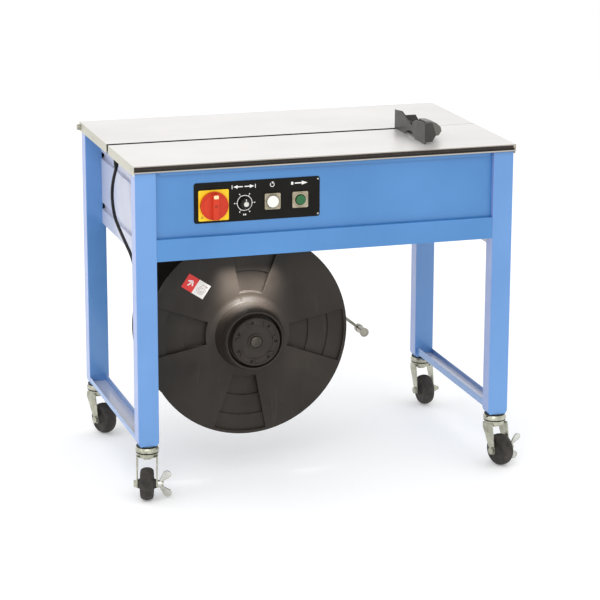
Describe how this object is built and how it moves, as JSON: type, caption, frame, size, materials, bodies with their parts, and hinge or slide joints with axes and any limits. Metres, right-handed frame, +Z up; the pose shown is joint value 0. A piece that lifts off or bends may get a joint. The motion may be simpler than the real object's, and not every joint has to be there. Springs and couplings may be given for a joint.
{
  "type": "semi automatic strapping machine",
  "caption": "Wheeled table-height strapping machine with a slotted top, control panel and strap reel below.",
  "frame": {"origin": "on the floor, below the middle of the whole machine's outline", "axes": "+X to the operator's right along the strap slot, front at -Y, +Z up"},
  "size_m": [0.9455, 0.5949, 0.821],
  "materials": {
    "blue_paint": "satin powder coat",
    "table_steel": "fine brushed, nearly white",
    "edge_trim": "silver lips with a dark insert",
    "track_steel": "machined steel",
    "stop_black": "satin black",
    "zinc": "zinc plated",
    "wheel_rubber": "dark grey rubber",
    "panel_black": "fine textured",
    "switch_yellow": "smooth moulded",
    "switch_red": "smooth moulded",
    "knob_black": "moulded",
    "bezel_metal": "satin",
    "lens_white": "translucent",
    "lens_green": "translucent",
    "reel_black": "moulded, lightly textured",
    "chrome": "polished",
    "motor_grey": "satin",
    "board_green": "coated board",
    "cord_black": "smooth jacket"
  },
  "bodies": {
    "frame": {"leg_front_left": "blue_paint", "leg_front_right": "blue_paint", "leg_back_left": "blue_paint", "leg_back_right": "blue_paint", "left_cross_channel": "blue_paint", "right_cross_channel": "blue_paint", "front_rail": "blue_paint", "back_rail": "blue_paint", "front_panel": "blue_paint", "back_panel": "blue_paint", "left_panel": "blue_paint", "right_panel": "blue_paint", "base_plate": "track_steel", "front_table_top": "table_steel", "front_edge_trim": "edge_trim", "strap_track": "track_steel", "parcel_stop": "stop_black", "lid_hinge_pins": "zinc", "caster_stems": "zinc", "control_plate": "panel_black", "switch_plate": "switch_yellow", "button_bezels": "bezel_metal", "reel_bracket": "blue_paint", "reel_shaft": "zinc", "drive_motor": "motor_grey", "gearbox": "track_steel", "head_frame": "track_steel", "control_board": "board_green", "cable_gland": "cord_black", "power_cord": "cord_black", "cord_hank": "cord_black", "power_plug": "cord_black"},
    "table_lid": {"back_table_lid": "table_steel"},
    "main_switch": {"switch_knob": "switch_red"},
    "length_dial": {"dial_knob": "knob_black"},
    "reset": {"reset_button": "lens_white"},
    "feed": {"feed_button": "lens_green"},
    "reel": {"rear_flange": "reel_black", "front_flange": "reel_black"},
    "reel_lock": {"hub_wheel": "reel_black"},
    "arm": {"brake_arm": "chrome"},
    "arm_roller": {"guide_roller": "chrome"},
    "cams": {"camshaft": "track_steel"},
    "press": {"press_head": "track_steel"},
    "drive_roller": {"feed_roller": "track_steel"},
    "idle_roller": {"pinch_roller": "track_steel"},
    "caster_front_left": {"fork_front_left": "zinc", "axle_front_left": "zinc"},
    "roller_front_left": {"wheel_front_left": "wheel_rubber"},
    "brake_left": {"wing_nut_left": "zinc"},
    "caster_front_right": {"fork_front_right": "zinc", "axle_front_right": "zinc"},
    "roller_front_right": {"wheel_front_right": "wheel_rubber"},
    "brake_right": {"wing_nut_right": "zinc"},
    "caster_back_left": {"fork_back_left": "zinc", "axle_back_left": "zinc"},
    "roller_back_left": {"wheel_back_left": "wheel_rubber"},
    "caster_back_right": {"fork_back_right": "zinc", "axle_back_right": "zinc"},
    "roller_back_right": {"wheel_back_right": "wheel_rubber"}
  },
  "joints": [
    {"name": "lid_lift", "type": "hinge", "parent": "frame", "child": "table_lid", "pos_m": [-0.014, 0.287, 0.759], "axis": [-1, 0, 0], "range_deg": [0, 80]},
    {"name": "main_switch_turn", "type": "hinge", "parent": "frame", "child": "main_switch", "pos_m": [-0.279, -0.248, 0.67], "axis": [0, 1, 0], "range_deg": [0, 90]},
    {"name": "length_dial_turn", "type": "hinge", "parent": "frame", "child": "length_dial", "pos_m": [-0.207, -0.248, 0.6707], "axis": [0, 1, 0], "range_deg": [-135, 135]},
    {"name": "reset_press", "type": "slide", "parent": "frame", "child": "reset", "axis": [0, 1, 0], "range_m": [0, 0.003], "stiffness_N_per_m": 400, "springref_m": -0.003},
    {"name": "feed_press", "type": "slide", "parent": "frame", "child": "feed", "axis": [0, 1, 0], "range_m": [0, 0.003], "stiffness_N_per_m": 400, "springref_m": -0.003},
    {"name": "reel_spin", "type": "hinge", "parent": "frame", "child": "reel", "pos_m": [-0.18, -0.173, 0.345], "axis": [0, 1, 0], "continuous": true},
    {"name": "reel_lock_turn", "type": "hinge", "parent": "reel", "child": "reel_lock", "pos_m": [-0.18, -0.238, 0.345], "axis": [0, 1, 0], "range_deg": [0, 90]},
    {"name": "brake_arm_swing", "type": "hinge", "parent": "frame", "child": "arm", "pos_m": [-0.074, 0.017, 0.466], "axis": [0, 1, 0], "range_deg": [0, 30], "stiffness_Nm_per_rad": 1.5, "springref_deg": -45.84},
    {"name": "arm_roller_spin", "type": "hinge", "parent": "arm", "child": "arm_roller", "pos_m": [0.1537, -0.003, 0.28161], "axis": [0, 1, 0], "continuous": true},
    {"name": "camshaft_spin", "type": "hinge", "parent": "frame", "child": "cams", "pos_m": [0.186, 0.017, 0.655], "axis": [0, 1, 0], "continuous": true},
    {"name": "press_lift", "type": "slide", "parent": "frame", "child": "press", "axis": [0, 0, 1], "range_m": [0, 0.008]},
    {"name": "feed_roller_spin", "type": "hinge", "parent": "frame", "child": "drive_roller", "pos_m": [0.076, -0.003, 0.69], "axis": [0, 1, 0], "continuous": true},
    {"name": "pinch_roller_spin", "type": "hinge", "parent": "frame", "child": "idle_roller", "pos_m": [0.076, -0.003, 0.7243], "axis": [0, 1, 0], "continuous": true},
    {"name": "swivel_front_left", "type": "hinge", "parent": "frame", "child": "caster_front_left", "pos_m": [-0.4365, -0.237, 0.1], "axis": [0, 0, 1], "continuous": true},
    {"name": "wheel_spin_front_left", "type": "hinge", "parent": "caster_front_left", "child": "roller_front_left", "pos_m": [-0.44352, -0.25995, 0.0375], "axis": [0.9563, -0.2924, 0], "continuous": true},
    {"name": "wing_nut_turn_left", "type": "hinge", "parent": "caster_front_left", "child": "brake_left", "pos_m": [-0.44352, -0.25995, 0.0375], "axis": [0.9563, -0.2924, 0], "range_deg": [-120, 120]},
    {"name": "swivel_front_right", "type": "hinge", "parent": "frame", "child": "caster_front_right", "pos_m": [0.4085, -0.237, 0.1], "axis": [0, 0, 1], "continuous": true},
    {"name": "wheel_spin_front_right", "type": "hinge", "parent": "caster_front_right", "child": "roller_front_right", "pos_m": [0.41552, -0.25995, 0.0375], "axis": [0.9563, 0.2924, 0], "continuous": true},
    {"name": "wing_nut_turn_right", "type": "hinge", "parent": "caster_front_right", "child": "brake_right", "pos_m": [0.41552, -0.25995, 0.0375], "axis": [0.9563, 0.2924, 0], "range_deg": [-120, 120]},
    {"name": "swivel_back_left", "type": "hinge", "parent": "frame", "child": "caster_back_left", "pos_m": [-0.4365, 0.271, 0.1], "axis": [0, 0, 1], "continuous": true},
    {"name": "wheel_spin_back_left", "type": "hinge", "parent": "caster_back_left", "child": "roller_back_left", "pos_m": [-0.42751, 0.24875, 0.0375], "axis": [0.9272, 0.3746, 0], "continuous": true},
    {"name": "swivel_back_right", "type": "hinge", "parent": "frame", "child": "caster_back_right", "pos_m": [0.4085, 0.271, 0.1], "axis": [0, 0, 1], "continuous": true},
    {"name": "wheel_spin_back_right", "type": "hinge", "parent": "caster_back_right", "child": "roller_back_right", "pos_m": [0.40976, 0.24703, 0.0375], "axis": [0.9986, 0.0523, 0], "continuous": true}
  ],
  "couplings": [
    {"joint": "pinch_roller_spin", "follows": "feed_roller_spin", "ratio": -1.4286}
  ]
}
